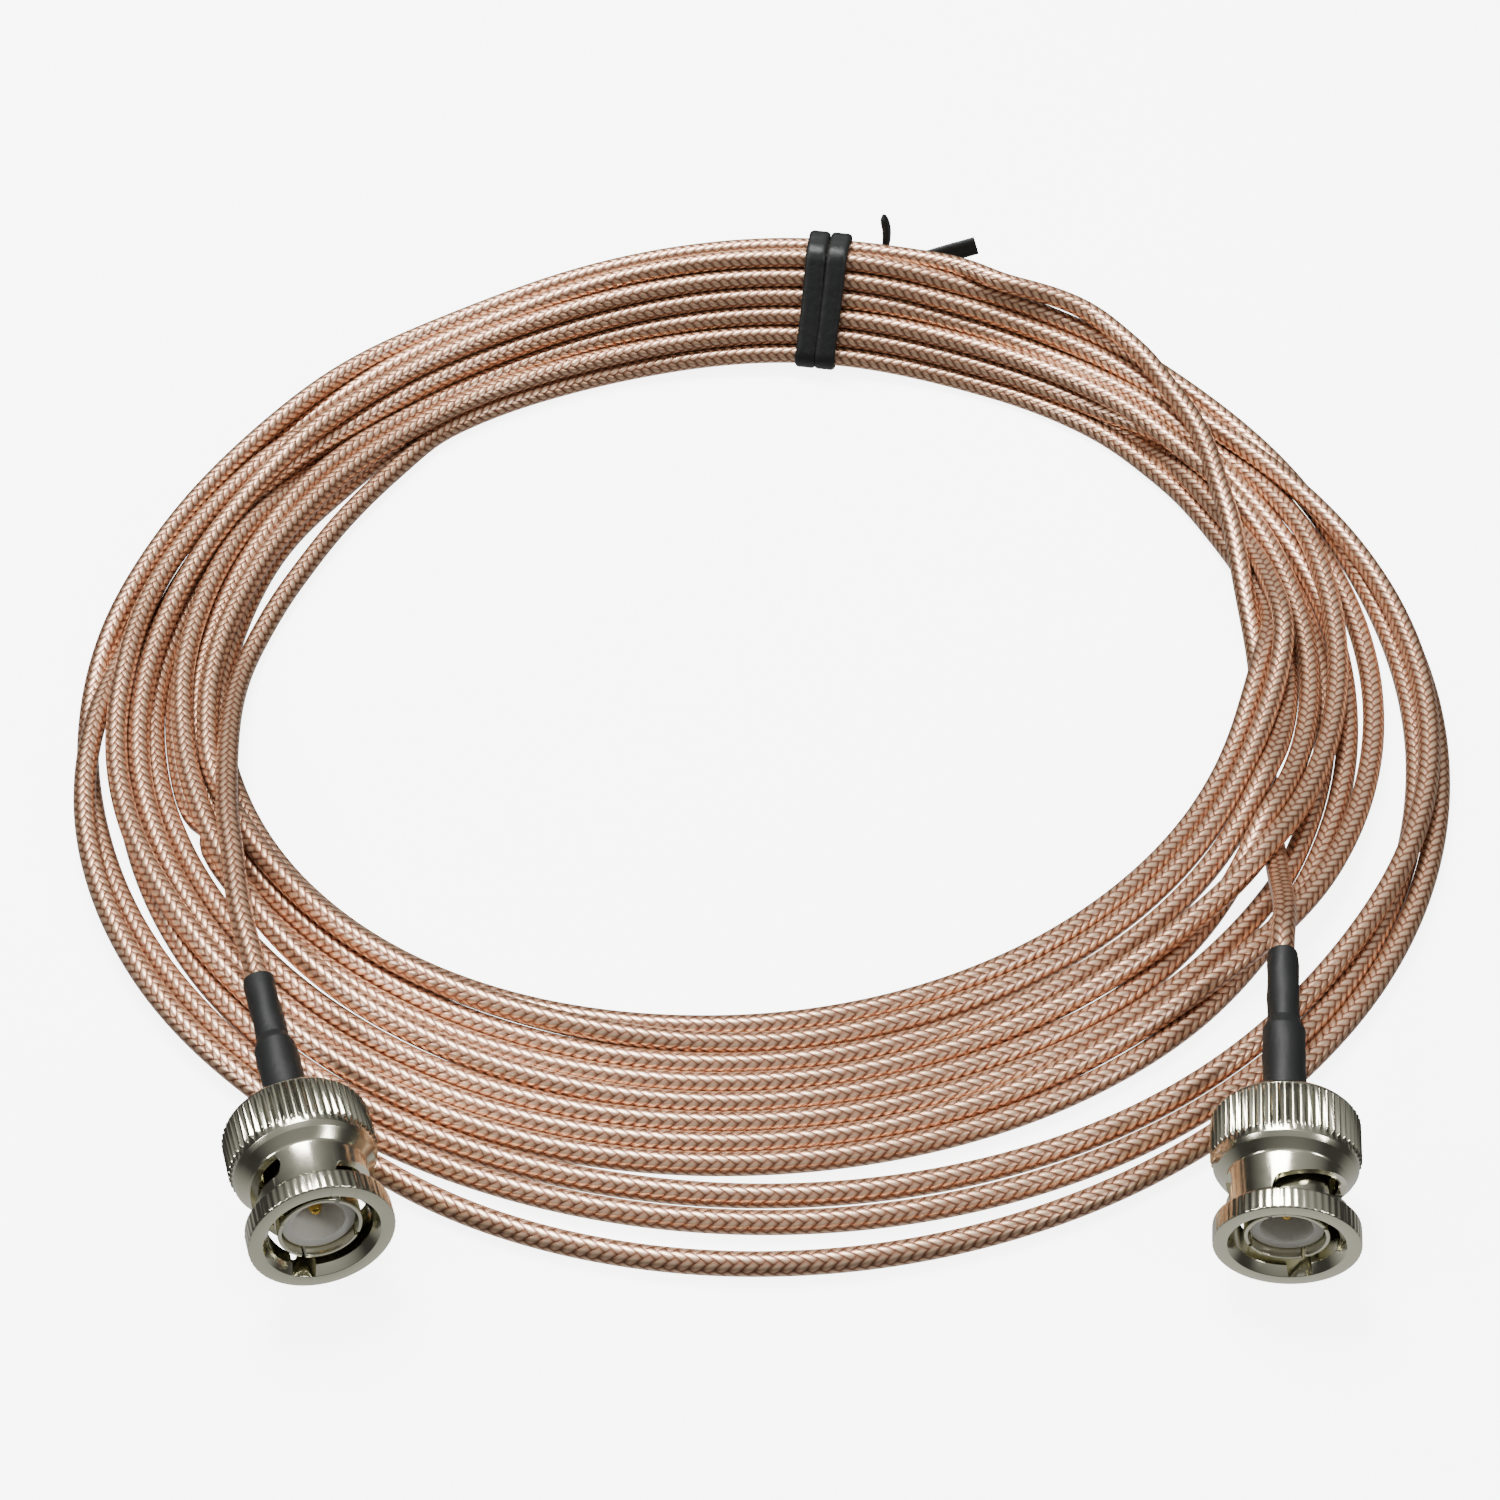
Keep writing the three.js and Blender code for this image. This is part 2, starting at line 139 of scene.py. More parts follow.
# The coil as in the CAD model, in millimetres: an eccentric ring, low and wide at the front,
# tall and narrow under the tie
coil = {
    "thickness": 2.5, "sides": 16, "strands": 13,
    "boreCentre": (-3.4, 13.4), "boreLong": 62, "boreShort": 57.2, "boreTurn": 40,
    "rimCentre": (0, 1.4), "rimRadius": 80.3,
    "tieAngle": 80, "tieInset": 4, "leftSpread": 62, "rightSpread": 44, "tieLift": 1.65,
    "rowRise": 2.15, "rowLean": 1.2, "columnGap": 2.55, "lastRow": 5,
    "laneShift": 0.45, "laneShare": [0, 0.08, 0.155, 0.27, 0.345, 0.44, 0.515, 0.645, 0.72, 0.87, 1],
    # where a turn strays over its neighbours: middle and reach in turns, and millimetres out
    "strays": [
        (9.5, 0.17, 6), (10.5, 0.2, -4), (8.25, 0.1, 5), (7.4, 0.12, -5), (6.75, 0.14, 5), (4.7, 0.12, -4.5),
        (3.2, 0.13, 4.5),
    ],
    "strayLift": 2.4, "everyThirdLift": 1.2,
    # the rim gives a little at the front and holds back under the left plug: middle angle in
    # degrees, reach in square degrees, and millimetres out
    "rimGives": [(-88, 450, 2.5), (-118, 200, -2.2)],
    # between the plugs no turn is lifted: middle angle and reach in degrees
    "lowMiddle": -85, "lowReach": 42,
    # where the right loose end crosses the turns below this height, they rise over it within this reach
    "crossBelow": 4, "crossReach": 3,
    "wander": 4.5, "wanderInside": 0.3, "wanderPeriods": (0.47, 0.62, 0.83, 1.3, 2.1), "seed": 7,
}
# How the turns settle: shares of a move for each step, and pushes in millimetres
settling = {
    "stations": 240, "steps": 1100, "holdLoose": 0.02, "holdTied": 0.12, "fall": 0.02,
    "smoothings": 9, "partings": 5, "spare": 1.02, "longestPush": 0.5, "offBore": 0.5, "offRim": 0.3,
    "offRimTied": 0.9,
}
leftRoute = [
    [-45.3, 50.8, 1.3], [-50.9, 41.5, 1.3], [-54.7, 33.8, 1.3], [-57.6, 26.4, 1.3], [-59.6, 20.7, 1.3],
    [-61.2, 14.7, 1.3], [-62.4, 8.6, 1.5], [-62.6, 1.3, 2.6], [-61.7, -8.6, 4.4], [-59.8, -21.2, 6.4],
    [-58.4, -27, 7], [-56.2, -36.7, 7.8],
]
rightRoute = [
    [30.2, 69.9, 13.9], [37.7, 68.1, 12.8], [42.7, 65.4, 11.8], [45.9, 61.7, 10.9], [48.6, 58.3, 10.3],
    [51, 52.7, 9.6], [53.5, 47.4, 8.9], [55, 41.7, 8.1], [55.8, 35.1, 7.2], [56.6, 30.6, 6.2],
    [57, 25.9, 5], [57.4, 18.6, 3.2], [57.7, 13.7, 2.2], [57.7, 7.9, 1.5], [57.2, 1.5, 1.3],
    [56.7, -3.6, 1.3], [56.2, -10, 1.4], [55.8, -16.2, 1.7], [55.3, -22.7, 2.4], [54.7, -29, 4.5],
    [54, -34.4, 7.4], [53.3, -38.8, 9.6],
]
plugs = {
    "left": {
        "face": (-42.53, -79.61, 9.4), "heading": 287.5, "rise": 2.2, "nutTurn": 140, "route": leftRoute,
    },
    "right": {
        "face": (48.17, -79.09, 7.2), "heading": 263.5, "rise": -5.2, "nutTurn": 124, "route": rightRoute,
    },
}


def plugDirection(plug):
    heading, rise = math.radians(plug["heading"]), math.radians(plug["rise"])
    level = math.cos(rise)
    return np.array([math.cos(heading) * level, math.sin(heading) * level, math.sin(rise)])


def plugAxisPoint(plug, back):
    return np.array(plug["face"]) - back * plugDirection(plug)


# A smooth line through chosen points: a cubic between each pair, whose knots are spaced by the
# square root of their distance
def smoothLine(chosen, steps=12):
    points = np.array(chosen, float)
    points = np.vstack([2 * points[0] - points[1], points, 2 * points[-1] - points[-2]])
    a, b, c, d = points[:-3], points[1:-2], points[2:-1], points[3:]
    knots = [np.sqrt(np.linalg.norm(q - p, axis=1))[:, None, None] for p, q in ((a, b), (b, c), (c, d))]
    t0 = np.zeros_like(knots[0])
    t1 = knots[0]
    t2 = t1 + knots[1]
    t3 = t2 + knots[2]
    t = t1 + (t2 - t1) * (np.arange(steps) / steps)[None, :, None]
    a, b, c, d = (p[:, None] for p in (a, b, c, d))
    ab = (t1 - t) / (t1 - t0) * a + (t - t0) / (t1 - t0) * b
    bc = (t2 - t) / (t2 - t1) * b + (t - t1) / (t2 - t1) * c
    cd = (t3 - t) / (t3 - t2) * c + (t - t2) / (t3 - t2) * d
    abc = (t2 - t) / (t2 - t0) * ab + (t - t0) / (t2 - t0) * bc
    bcd = (t3 - t) / (t3 - t1) * bc + (t - t1) / (t3 - t1) * cd
    line = (t2 - t) / (t2 - t1) * abc + (t - t1) / (t2 - t1) * bcd
    return np.vstack([line.reshape(-1, 3), points[-2]])


# How tall the bundle stands at each angle, the bore's radius and the rim's, as in the CAD model
def coilSection(degrees):
    offset = (degrees - coil["tieAngle"] + 540) % 360 - 180
    spread = np.where(offset > 0, coil["leftSpread"], coil["rightSpread"])
    tall = np.exp(-(offset / spread) ** 2)
    turned = np.radians(degrees - coil["boreTurn"])
    bore = 1 / np.hypot(np.cos(turned) / coil["boreLong"], np.sin(turned) / coil["boreShort"])
    bore = bore - coil["tieInset"] * tall ** 1.5
    along = np.stack([np.cos(np.radians(degrees)), np.sin(np.radians(degrees))], -1)
    shift = np.subtract(coil["rimCentre"], coil["boreCentre"])
    reach = along @ shift
    rim = reach + np.sqrt(coil["rimRadius"] ** 2 - shift @ shift + reach ** 2)
    return bore, rim, tall


# The turns, worked out as discs in sections of the coil. Each of the stations round the coil
# holds one disc per strand, at a distance from the bore's centre and a height. Again and again
# each disc moves a little towards its lane and down, then halfway to the mean of its
# neighbours along the cable, then out of every disc that it overlaps, off the floor and
# inside the walls. The two loose ends take part as discs that do not move
def settleTurns():
    thick, count, strands = coil["thickness"], settling["stations"], coil["strands"]
    outermost, rightEnd = strands - 2, strands - 1
    station = np.arange(count)
    degrees = coil["tieAngle"] - 360 * station / count
    bore, rim, tall = coilSection(degrees)
    strand = np.arange(-1, outermost + 1)[:, None]
    turn = strand + station / count
    lane = np.interp(turn - coil["laneShift"], np.arange(len(coil["laneShare"])), coil["laneShare"])
    flat = bore + thick / 2 + lane * (rim - bore - thick)
    random = np.random.default_rng(coil["seed"])
    outwards = np.clip(turn, 0, outermost) / outermost
    looseness = coil["wander"] * (1 - tall) * (coil["wanderInside"] + outwards)
    for period in coil["wanderPeriods"]:
        swing = random.normal(0, 0.5) * np.sin(2 * np.pi * (turn / period + random.uniform()))
        flat = flat + looseness * swing
    strays = sum(
        out * np.exp(-((turn - middle) / reach) ** 2) * (1 - tall) for middle, reach, out in coil["strays"])
    flat = flat + strays
    for middle, reach, out in coil["rimGives"]:
        rim = rim + out * np.exp(-((degrees - middle + 180) % 360 - 180) ** 2 / reach)
    level = np.clip(np.round(turn), 0, outermost)
    row, column = np.floor(level / 2), level % 2
    stacked = bore + thick / 2 + column * coil["columnGap"] + row * coil["rowLean"]
    stackedHeight = thick / 2 + coil["tieLift"] * tall ** 4 + row * coil["rowRise"]
    underPlugs = np.exp(-(((degrees - coil["lowMiddle"] + 180) % 360 - 180) / coil["lowReach"]) ** 4)
    lift = np.where(strand % 3 == 1, coil["everyThirdLift"], 0) + np.clip(strays, 0, coil["strayLift"])
    resting = thick / 2 + lift * (1 - underPlugs)
    distance, height = flat * (1 - tall) + stacked * tall, resting * (1 - tall) + stackedHeight * tall
    target = np.stack([distance, height], -1)
    place = target.copy()
    fixed = np.zeros(turn.shape, bool)
    for route, index in ((leftRoute, 0), (rightRoute, rightEnd)):
        line = smoothLine(route)
        out = line[:, :2] - coil["boreCentre"]
        lap = ((coil["tieAngle"] - np.degrees(np.arctan2(out[:, 1], out[:, 0]))) % 360) / 360 * count
        order = np.argsort(lap)
        inside = (station >= lap.min()) & (station <= lap.max())
        place[index, inside, 0] = np.interp(station[inside], lap[order], np.hypot(*out.T)[order])
        place[index, inside, 1] = np.interp(station[inside], lap[order], line[order, 2])
        fixed[index] = inside
    alive = np.ones(turn.shape, bool)
    alive[0, :np.argmax(fixed[0])] = False
    alive[rightEnd, count - np.argmax(fixed[rightEnd][::-1]):] = False
    endDistance, endHeight = place[rightEnd].T
    crossing = np.exp(-((target[..., 0] - endDistance) / coil["crossReach"]) ** 2)
    crossing = crossing * fixed[rightEnd] * (endHeight < coil["crossBelow"])
    target[..., 1] = np.maximum(target[..., 1], crossing * (endHeight + thick))
    place = np.where(fixed[..., None], place, target)
    free = alive & ~fixed
    first, last = np.argmax(alive.ravel()), alive.size - 1 - np.argmax(alive.ravel()[::-1])
    hold = (settling["holdLoose"] + settling["holdTied"] * tall ** 1.5)[:, None]
    fall = settling["fall"] * (1 - tall) ** 2
    pair = alive[:, None] & alive[None] & ~np.eye(strands, dtype=bool)[:, :, None]
    share = np.where(fixed, 1.0, 0.5)[None]
    for step in range(settling["steps"]):
        moved = place + hold * (target - place)
        moved[..., 1] -= fall
        line = np.where(free[..., None], moved, place).reshape(-1, 2)[first:last + 1]
        loose = free.ravel()[first:last + 1, None]
        for smoothing in range(settling["smoothings"]):
            middle = line.copy()
            middle[1:-1] = (line[:-2] + line[2:]) / 2
            line = np.where(loose, (line + middle) / 2, line)
        place.reshape(-1, 2)[first:last + 1] = line
        for parting in range(settling["partings"]):
            apart = place[:, None] - place[None]
            gap = np.linalg.norm(apart, axis=-1) + 1e-9
            push = np.clip(settling["spare"] * thick - gap, 0, None) * pair * share / gap
            longest = settling["longestPush"]
            place += np.clip((push[..., None] * apart).sum(1), -longest, longest) * free[..., None]
        place[..., 1] = np.where(free, np.maximum(place[..., 1], thick / 2), place[..., 1])
        offBore = np.clip(bore + thick / 2 - place[..., 0], 0, None) * settling["offBore"]
        offRim = np.clip(place[..., 0] - rim + thick / 2, 0, None) * settling["offRim"]
        offRim = offRim * (1 - settling["offRimTied"] * tall)
        place[..., 0] += (offBore - offRim) * free
    gap = np.linalg.norm(place[:, None] - place[None], axis=-1) + 99 * ~pair
    print("turns settled, closest", round(float(gap.min()), 2), "mm apart")
    angle = np.radians(np.tile(degrees, strands))
    distance, height = place.reshape(-1, 2).T
    points = np.stack([distance * np.cos(angle), distance * np.sin(angle), height], -1)
    points[:, :2] += coil["boreCentre"]
    moving = free.ravel()
    return points[np.argmax(moving):moving.size - np.argmax(moving[::-1])]


# The whole cable from sleeve to sleeve, at even steps: left end, turns, right end
def cablePath(step=1.7):
    ends = {}
    for side, plug in plugs.items():
        into = [plugAxisPoint(plug, sleeve["rear"] + back) for back in sleeve["cableEnters"]]
        ends[side] = smoothLine([*plug["route"], *into])
    line = np.vstack([ends["left"][::-1], settleTurns()[1:-1], ends["right"]])
    along = np.concatenate([[0], np.cumsum(np.linalg.norm(np.diff(line, axis=0), axis=1))])
    even = np.linspace(0, along[-1], int(along[-1] / step))
    line = np.stack([np.interp(even, along, line[:, axis]) for axis in range(3)], -1)
    for smoothing in range(3):
        line[1:-1] = (line[:-2] + 2 * line[1:-1] + line[2:]) / 4
    return line


# Sizes along a plug are measured back from the nut's front face
sleeve = {
    "rear": 34.5, "wobble": 0.04, "wobbleFrom": 1.5, "cableEnters": (2.5, -4),
    "profile": [
        (3.3, 15.5, 0), (4.25, 15.5, 0.15), (4.25, 24.7, 0.6), (3.25, 26, 0.6), (3.2, 34.5, 0.12),
        (2.62, 34.5, 0), (2.62, 24.6, 0), (3.3, 24.2, 0),
    ],
}
braid = {
    "carriers": 8, "lay": 9.95, "relief": 0.055, "metal": 0.78, "roughness": 0.33,
    # The pale colour is a painted highlight on the tops of the wires and the dark one is painted shade in the
    # gaps between them; the middle one is the braid's own colour
    "light": "#f8e0c8", "mid": "#be947e", "gap": "#755545", "tint": "#ecd8c4",
    "paintedHighlightFrom": 0.9, "midAt": 0.45, "paintedShadeUpTo": 0.12,
    "jacket": 0.75, "jacketRoughness": 0.12, "jacketIor": 1.35,
}


# Clear brown-tinged jacket, extruded over a braid of flat copper wires, under one smooth glossy skin. Its
# colour is partly painted light: the pale slanting dashes in two directions are a painted highlight on the
# tops of the wires, and the dark points between them are painted shade where the wires dive under; the colour
# in between is the braid's own. Each set of wires lies over two and under two of the other: its height is a
# half wave along the wire, times a half wave across it, and that height both bumps the surface and picks the
# painted colour
def braidedCableMaterial():
    material, tree, shader = newMaterial("copper braid woven under extruded clear jacket")
    place = addNode(tree, "ShaderNodeUVMap", uv_map="alongAndAround").outputs[0]
    split = addNode(tree, "ShaderNodeSeparateXYZ", {0: place})
    along = mathNode(tree, "MULTIPLY", split.outputs[0], braid["carriers"] / braid["lay"])
    around = mathNode(tree, "MULTIPLY", split.outputs[1], float(braid["carriers"]))
    rightHand = mathNode(tree, "ADD", along, around)
    leftHand = mathNode(tree, "SUBTRACT", along, around)
    heights = []
    for own, other, shift in ((rightHand, leftHand, 1.0), (leftHand, rightHand, -2.0)):
        index = mathNode(tree, "FLOOR", own)
        passed = mathNode(tree, "ADD", mathNode(tree, "SUBTRACT", other, index), shift)
        phase = mathNode(tree, "FLOORED_MODULO", passed, 4.0)
        onTop = mathNode(tree, "LESS_THAN", phase, 2.0)
        arch = mathNode(tree, "SINE", mathNode(tree, "MULTIPLY", phase, math.pi / 2))
        archHeight = mathNode(tree, "POWER", mathNode(tree, "ABSOLUTE", arch), 0.5)
        across = mathNode(tree, "SINE", mathNode(tree, "MULTIPLY", mathNode(tree, "FRACT", own), math.pi))
        lifted = mathNode(tree, "MULTIPLY", archHeight, mathNode(tree, "POWER", across, 0.6))
        heights.append(mathNode(tree, "MULTIPLY", onTop, lifted))
    height = mathNode(tree, "ADD", *heights)
    # The weave's height picks the colour: painted shade low in the gaps between the wires, a painted
    # highlight on their tops
    ramp = addNode(tree, "ShaderNodeValToRGB", {0: height})
    stops = ramp.color_ramp.elements
    stops[0].position, stops[0].color = braid["paintedShadeUpTo"], colour(braid["gap"])
    stops[1].position, stops[1].color = braid["paintedHighlightFrom"], colour(braid["light"])
    middle = stops.new(braid["midAt"])
    middle.color = colour(braid["mid"])
    tree.links.new(ramp.outputs[0], shader.inputs["Base Color"])
    relief = braid["relief"] * mm
    bump = addNode(tree, "ShaderNodeBump", {"Height": height, "Distance": relief, "Strength": 1.0})
    tree.links.new(bump.outputs[0], shader.inputs["Normal"])
    shader.inputs["Metallic"].default_value = braid["metal"]
    shader.inputs["Roughness"].default_value = braid["roughness"]
    shader.inputs["Coat Weight"].default_value = braid["jacket"]
    shader.inputs["Coat Roughness"].default_value = braid["jacketRoughness"]
    shader.inputs["Coat IOR"].default_value = braid["jacketIor"]
    shader.inputs["Coat Tint"].default_value = colour(braid["tint"])
    return material


cableMaterial = braidedCableMaterial()
path = cablePath()
cable = tubePiece("cable", path, coil["thickness"] / 2, coil["sides"], cableMaterial)
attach(cable, "cable")
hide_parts("cable_coil", "cable_tail_left", "cable_tail_right")

# Sizes of a plug in millimetres, measured back from the nut's front face: each corner of a
# profile is a diameter, a distance back and the radius that rounds it
nut = {
    "ridges": 60, "samples": 6, "collar": 13.9, "ridgeWidth": 0.8,
    "profile": [
        (11.2, 0, 0.1), (14, 0, 0.18), (14, 2.1, 0.25), (12.6, 2.5, 0.2), (11.4, 3, 0.3), (11.4, 7.1, 0.5),
        (13.3, 8, 0.3), (13.9, 8.5, 0.15), (13.9, 9.15, 0), (14.5, 9.45, 0), (14.5, 13.6, 0),
        (13.9, 13.9, 0), (13.9, 14, 0.05), (13, 14.5, 0.15), (8.7, 14.5, 0.1), (8.7, 13.3, 0),
        (11.4, 13.3, 0), (11.4, 9.9, 0), (9.9, 9.2, 0), (9.9, 0.9, 0.1),
    ],
    "channelWidth": 2.4, "channelReach": 5.55,
    "slotWidth": 2.5, "slotTurn": 130, "slotFront": 3.1, "slotRise": 2.6, "slotWall": (3.9, 6.6),
    "slotRisesBy": 1.25, "slotRoundness": 9, "slotTip": 0.02,
    "cutEdge": 0.1,
}
contact = {
    "profile": [
        (7.3, 9, 0), (7.3, 1, 0.05), (8.1, 1, 0.12), (8.1, 9.9, 0), (10.6, 9.9, 0.1), (10.6, 11, 0.1),
        (8, 11, 0), (8, 15.2, 0.2),
    ],
    "slits": 4, "slitWidth": 0.45, "slitLength": 3, "slitReach": 4.6, "cutEdge": 0.05,
}
insulator = {"profile": [
    (1.95, 8.7, 0), (1.95, 6.5, 0), (4.4, 6.5, 0.3), (5.1, 1.9, 0.08), (7.1, 1.9, 0.15), (7.1, 8.7, 0),
]}
pin = {"profile": [(0.35, 3, 0), (0.9, 3.15, 0.1), (1.35, 3.8, 0.2), (1.35, 8.7, 0)]}
washer = {"profile": [(8.6, 13, 0), (8.6, 12.2, 0.1), (10.8, 12.2, 0.1), (10.8, 13, 0)]}
ferrule = {"profile": [(1, 15.5, 0), (2.8, 15.5, 0.1), (2.8, 23.9, 0.1), (1, 23.9, 0)]}


# A profile with each corner rounded: an arc that touches both of its sides
def roundedProfile(corners, closedLoop, arcSteps=4):
    points = np.array([(diameter / 2, back) for diameter, back, radius in corners])
    rounded = []
    for index, corner in enumerate(corners):
        here, radius = points[index], corner[2]
        if radius == 0 or (not closedLoop and index in (0, len(corners) - 1)):
            rounded.append(here)
            continue
        before, after = points[index - 1] - here, points[(index + 1) % len(points)] - here
        before, after = before / np.linalg.norm(before), after / np.linalg.norm(after)
        half = math.acos(max(-1, min(1, before @ after))) / 2
        middle = (before + after) / np.linalg.norm(before + after)
        centre = here + middle * radius / math.sin(half)
        start = here + before * radius / math.tan(half) - centre
        end = here + after * radius / math.tan(half) - centre
        share = np.linspace(0, 1, arcSteps)[:, None]
        arc = start * (1 - share) + end * share
        rounded.extend(centre + radius * arc / np.linalg.norm(arc, axis=1, keepdims=True))
    return np.array(rounded)


# From a plug's own axes, with its front face at zero and its axis along +Y, to the model's
def laidInPlace(points, plug):
    turn = Vector((0, 1, 0)).rotation_difference(Vector(plugDirection(plug).tolist())).to_matrix()
    return np.asarray(points) @ np.array(turn).T + plug["face"]


# A turned piece: its profile swept round the axis. Where ridges are asked for, whatever stands
# outside the collar's diameter is cut down to it in a wave round the axis. Where a wobble is
# asked for, the outside is uneven by the sum of two waves round and along the axis
def turnedPiece(name, plug, corners, material, sides=96, closedLoop=True, ridges=0, collar=0.0, wobble=0.0):
    profile = roundedProfile(corners, closedLoop)
    if wobble:
        steps = np.linspace(0, 1, 6, endpoint=False)[:, None, None]
        profile = (profile + steps * (np.roll(profile, -1, 0) - profile)).transpose(1, 0, 2).reshape(-1, 2)
    angle = np.arange(sides) / sides * 2 * np.pi
    radius = profile[:, :1] + 0 * angle
    if ridges:
        valley = (0.5 - 0.5 * np.cos(ridges * angle)) ** nut["ridgeWidth"]
        radius = radius - np.clip(radius - collar / 2, 0, None) * valley
    outside = radius > sleeve["wobbleFrom"]
    waves = np.sin(3 * angle + 0.9 * profile[:, 1:]) + np.sin(2 * angle - 1.7 * profile[:, 1:])
    radius = radius + outside * wobble * waves
    points = np.stack([radius * np.sin(angle), -profile[:, 1:] + 0 * angle, radius * np.cos(angle)], -1)
    faces = ringFaces(len(profile), sides, closedLoop)
    return newPiece(name, laidInPlace(points.reshape(-1, 3), plug), faces, material)


# A slot's cutter: a box bent round the axis that runs back as it turns, with round ends
def slotCutter(plug, start, steps=40):
    share = np.linspace(0, 1, steps)
    steep = nut["slotRoundness"]
    intoEnd = np.clip(np.abs(2 * share - 1) * steep - (steep - 1), 0, 1)
    opening = np.sqrt(np.clip(1 - intoEnd ** 2, nut["slotTip"], 1))
    angle = np.radians(start - nut["slotTurn"] * share)
    middle = nut["slotFront"] + nut["slotRise"] * np.clip(share * nut["slotRisesBy"], 0, 1)
    corners = []
    inner, outer = nut["slotWall"]
    for radius, edge in ((inner, -1), (outer, -1), (outer, 1), (inner, 1)):
        back = middle + edge * nut["slotWidth"] / 2 * opening
        corners.append(np.stack([np.sin(angle) * radius, -back, np.cos(angle) * radius], -1))
    points = np.stack(corners, 1).reshape(-1, 3)
    return laidInPlace(points, plug), ringFaces(steps, 4)


# A straight cutter through the wall at one angle, from the front to a distance back
def channelCutter(plug, angle, width, reach, front, back):
    turn = math.radians(angle)
    across = np.array([math.cos(turn), 0, -math.sin(turn)]) * width / 2
    outward = np.array([math.sin(turn), 0, math.cos(turn)])
    corners = ((0.1, -1), (reach, -1), (reach, 1), (0.1, 1))
    axis = np.array([0, -1, 0])
    points = [outward * out + across * side + axis * far for far in (front, back) for out, side in corners]
    return laidInPlace(points, plug), ringFaces(2, 4)


# Cuts solids out of a piece, then gives the cut edges a fine rounding that catches the light
def cutOut(obj, cutters, edge):
    for points, faces in cutters:
        cutter = newPiece("cutter", points, faces, obj.data.materials[0])
        modifier = obj.modifiers.new("cut", "BOOLEAN")
        modifier.operation, modifier.solver, modifier.object = "DIFFERENCE", "EXACT", cutter
        result = bpy.data.meshes.new_from_object(obj.evaluated_get(bpy.context.evaluated_depsgraph_get()))
        obj.modifiers.remove(modifier)
        obj.data = result
        bpy.data.objects.remove(cutter)
    obj.data.set_sharp_from_angle(angle=math.radians(sharpAngle))
    bevel = obj.modifiers.new("edge", "BEVEL")
    bevel.width, bevel.segments, bevel.limit_method = edge * mm, 2, "ANGLE"
    bevel.angle_limit = math.radians(roundedAngle)
    return obj


# Turning marks on bare metal: how many to a millimetre, and how far they change the roughness
marks = {"perMillimetre": 0.9, "smoother": 0.05, "rougher": 0.07}


# Nickel over turned brass is a warm, slightly soft mirror with faint turning marks. Spring steel
# is a greyer and duller one
def nickelMaterial(name, base, roughness):
    material, tree, shader = newMaterial(name)
    place = addNode(tree, "ShaderNodeTexCoord").outputs["Object"]
    scale = marks["perMillimetre"] / mm
    noise = addNode(tree, "ShaderNodeTexNoise", {"Vector": place, "Scale": scale, "Detail": 3.0})
    span = {0: noise.outputs[0], 3: roughness - marks["smoother"], 4: roughness + marks["rougher"]}
    spread = addNode(tree, "ShaderNodeMapRange", span)
    tree.links.new(spread.outputs[0], shader.inputs["Roughness"])
    shader.inputs["Base Color"].default_value = colour(base)
    shader.inputs["Metallic"].default_value = 1.0
    return material


# One colour and one finish: gold plate is a smooth warm mirror, turned fluoroplastic is milky and waxy
def plainMaterial(name, base, roughness, metallic=0.0):
    material, tree, shader = newMaterial(name)
    shader.inputs["Base Color"].default_value = colour(base)
    shader.inputs["Roughness"].default_value = roughness
    shader.inputs["Metallic"].default_value = metallic
    return material


nickel = nickelMaterial("nickel plated over turned brass", "#d3d0ba", 0.15)
springSteel = nickelMaterial("spring steel pressed from strip", "#a5a296", 0.35)
gold = plainMaterial("gold plated over turned brass", "#d9b25a", 0.22, 1.0)
fluoroplastic = plainMaterial("fluoroplastic turned from rod", "#e4e2da", 0.42)


# Heat-shrunk polyolefin and soft vinyl: black, dull, with a fine unevenness that breaks up the
# shine. It is given as grains to a millimetre and a relief in millimetres
def softPlasticMaterial(name, base, roughness, grains, relief):
    material, tree, shader = newMaterial(name)
    place = addNode(tree, "ShaderNodeTexCoord").outputs["Object"]
    noise = addNode(tree, "ShaderNodeTexNoise", {"Vector": place, "Scale": grains / mm, "Detail": 4.0})
    grainHeight = {"Height": noise.outputs[0], "Distance": relief * mm, "Strength": 0.6}
    bump = addNode(tree, "ShaderNodeBump", grainHeight)
    tree.links.new(bump.outputs[0], shader.inputs["Normal"])
    shader.inputs["Base Color"].default_value = colour(base)
    shader.inputs["Roughness"].default_value = roughness
    shader.inputs["Specular IOR Level"].default_value = 0.35
    return material


shrinkTube = softPlasticMaterial("polyolefin tube shrunk by heat", "#161817", 0.55, 1.4, 0.06)
tieVinyl = softPlasticMaterial("vinyl extruded over tie wire", "#1c1e1d", 0.46, 0.7, 0.2)


def buildNut(name, plug):
    sides = nut["ridges"] * nut["samples"]
    piece = turnedPiece(name, plug, nut["profile"], nickel, sides, ridges=nut["ridges"], collar=nut["collar"])
    channelEnd = nut["slotFront"] + 1
    cutters = []
    for start in (plug["nutTurn"], plug["nutTurn"] + 180):
        cutters.append(channelCutter(plug, start, nut["channelWidth"], nut["channelReach"], -1, channelEnd))
        cutters.append(slotCutter(plug, start))
    return cutOut(piece, cutters, nut["cutEdge"])


def buildContact(name, plug):
    piece = turnedPiece(name, plug, contact["profile"], nickel, closedLoop=False)
    turns = [45 + 360 / contact["slits"] * index for index in range(contact["slits"])]
    width, reach, length = contact["slitWidth"], contact["slitReach"], contact["slitLength"]
    slits = [channelCutter(plug, turn, width, reach, 0, length) for turn in turns]
    return cutOut(piece, slits, contact["cutEdge"])


def buildInsulator(name, plug):
    return turnedPiece(name, plug, insulator["profile"], fluoroplastic)


